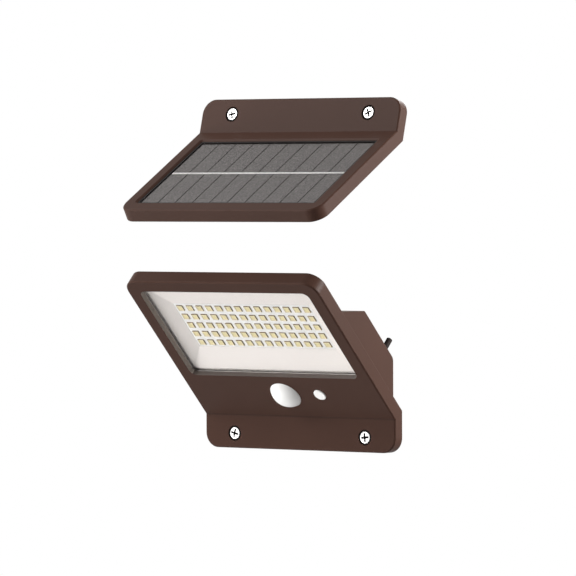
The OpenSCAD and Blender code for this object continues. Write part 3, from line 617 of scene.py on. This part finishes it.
CASE_PLACES = [(s * LAMP_HALF * q, CASE_Y) for q in CASE_SHARES for s in (-1, 1)]
CASE_PLACES += [(-LOW_X, LOW_Y), (LOW_X, LOW_Y)]
COVER_PLACES = [(s * COVER_X, y) for s in (-1, 1) for y in COVER_YS]
wall_screws("lamp_wall_screw_pair", "lamp_wall_screws", LAMP_FLANGE, LAMP_SCREW_SPAN,
            LAMP_SCREW_Z, LAMP_TURNS)
wall_screws("solar_wall_screw_pair", "solar_wall_screws", SOLAR_FLANGE, SOLAR_SCREW_SPAN,
            SOLAR_SCREW_Z, SOLAR_TURNS)
small_screws("case_screws", "housing_screws", LAMP_FACE, LAMP_FACE_T, CASE_PLACES)
small_screws("cover_screws", "solar_back_screws", SOLAR_FACE, SOLAR_FACE_T, COVER_PLACES)


# LEDs: sides and chamfers darker than the top, a cream rim and a shallow cup of yellow resin.
def square_ring(bm, cx, cy, half, z):
    return [bm.verts.new(((cx + x * half) * mm, (cy + y * half) * mm, z * mm)) for x, y in CORNERS]


def led_array():
    bm = bmesh.new()
    half = LED_SIDE / 2
    top = -(BOARD_D - LED_T)
    levels = ((half, -BOARD_D), (half, top - LED_CHAMFER), (half - LED_CHAMFER, top),
              (half - LED_RIM_IN, top), (half - LED_CUP_IN, top - LED_CUP_D))
    side, rim, resin = 0, 1, 2
    bands = (side, side, rim, rim)
    for i in range(LED_COLS):
        for j in range(LED_ROWS):
            cx = (i - (LED_COLS - 1) / 2) * LED_PITCH[0]
            cy = LED_MID + (j - (LED_ROWS - 1) / 2) * LED_PITCH[1]
            rings = [square_ring(bm, cx, cy, h, z) for h, z in levels]
            bm.faces.new(rings[0][::-1]).material_index = side
            for a, b, band in zip(rings, rings[1:], bands):
                for k in range(4):
                    n = (k + 1) % 4
                    bm.faces.new((a[k], a[n], b[n], b[k])).material_index = band
            bm.faces.new(rings[-1]).material_index = resin
    ob = new_mesh("led_array", bm)
    ob.data.transform(LAMP_FACE)
    for m in (m_led_side, m_led_rim, m_led):
        ob.data.materials.append(m)
    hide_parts("led_chips")
    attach(ob, LIGHT)


led_array()

# Camera at the photograph's angle.
AZ, EL, ROLL = math.radians(36.70), math.radians(1.25), math.radians(0.19)
LOOK = Vector((-9.918, -7.393, 101.807)) * mm
DIST = 3489.8 * mm
LENS, SENSOR = 314.87, 36
CLIP_END = 50

level_right = Vector((math.cos(AZ), math.sin(AZ), 0))
forward = Vector((-math.sin(AZ) * math.cos(EL), math.cos(AZ) * math.cos(EL), -math.sin(EL)))
level_up = level_right.cross(forward)
right = level_right * math.cos(ROLL) - level_up * math.sin(ROLL)
up = level_right * math.sin(ROLL) + level_up * math.cos(ROLL)
eye = LOOK - forward * DIST
cam_data = bpy.data.cameras.new("camera")
cam_data.lens = LENS
cam_data.sensor_width = SENSOR
cam_data.sensor_fit = "HORIZONTAL"
cam_data.clip_end = CLIP_END
cam = add_object("camera", cam_data)
cam.matrix_world = Matrix(((right.x, up.x, -forward.x, eye.x), (right.y, up.y, -forward.y, eye.y),
                           (right.z, up.z, -forward.z, eye.z), (0, 0, 0, 1)))
bpy.context.scene.camera = cam

# Floor, world and lamps. Lengths are in metres.
FLOOR_Z, FLOOR_HALF = -1.6, 2.4
FLOOR_WHITE = 0.85  # how much of the floor's look is plain white; the rest takes the shadow
WORLD = 0.1  # the world's strength on the object


def pale_floor():
    bm = bmesh.new()
    bmesh.ops.create_grid(bm, x_segments=2, y_segments=2, size=1.0)
    floor = new_mesh("floor", bm)
    size = Matrix.Diagonal((FLOOR_HALF, FLOOR_HALF, 1, 1))
    floor.data.transform(Matrix.Translation((0, 0, FLOOR_Z)) @ size)
    m, nt, bsdf = material("floor_white")
    bsdf.inputs["Roughness"].default_value = 0.6
    flow = noise(nt, coords(nt), Scale=3.0, Detail=2.0)
    colour = ramp(nt, flow, (NOISE_LOW, (0.82, 0.82, 0.82)), (NOISE_HIGH, (0.84, 0.84, 0.84)))
    nt.links.new(colour, bsdf.inputs["Base Color"])
    glow = node(nt, "ShaderNodeEmission", Strength=1.0)
    share = maths(nt, "MULTIPLY", shows_background(nt), FLOOR_WHITE)
    surface = mix_shaders(nt, share, bsdf.outputs["BSDF"], glow.outputs["Emission"])
    nt.links.new(surface, nt.nodes["Material Output"].inputs["Surface"])
    floor.data.materials.append(m)


def white_world():
    world = bpy.data.worlds.new("world")
    bpy.context.scene.world = world
    world.use_nodes = True
    nt = world.node_tree
    nt.nodes.clear()
    out = nt.nodes.new("ShaderNodeOutputWorld")
    dim = node(nt, "ShaderNodeBackground", Color=(1, 1, 1, 1), Strength=WORLD)
    white = node(nt, "ShaderNodeBackground", Color=(1, 1, 1, 1), Strength=1.0)
    sky = mix_shaders(nt, shows_background(nt), dim.outputs[0], white.outputs[0])
    nt.links.new(sky, out.inputs["Surface"])


def area(name, at, to, size, power):
    """A square lamp at one point that shines at another."""
    data = bpy.data.lights.new(name, "AREA")
    data.shape = "RECTANGLE"
    data.size = data.size_y = size
    data.energy = power
    lamp = add_object(name, data)
    turn = (Vector(at) - Vector(to)).to_track_quat("Z", "Y").to_matrix().to_4x4()
    lamp.matrix_world = Matrix.Translation(at) @ turn


CENTRE = (0, -0.05, 0.1)
# name, place, side in metres, power in watts
LAMPS = (
    ("left_low", (-1.25, -1.9, -1.4), 1.2, 28),
    ("far_low", (-2.1, -1.5, -1.35), 1.2, 56),
    ("left_high", (-1.2, -1.9, 1.7), 1.8, 76),
    ("far_high", (-2.2, -1.4, 1.5), 1.4, 34),
    ("right_back", (0.8, 0.42, 0.34), 0.4, 21),
    ("right_front", (1.5, -2.3, -0.1), 1.2, 3),
    ("top", (0.0, -0.3, 2.4), 1.4, 4),
    ("back", (-0.5, 2.4, 0.5), 1.4, 45),
)
pale_floor()
white_world()
for name, at, size, power in LAMPS:
    area(name, at, CENTRE, size, power)

bpy.context.scene.view_settings.view_transform = "Standard"
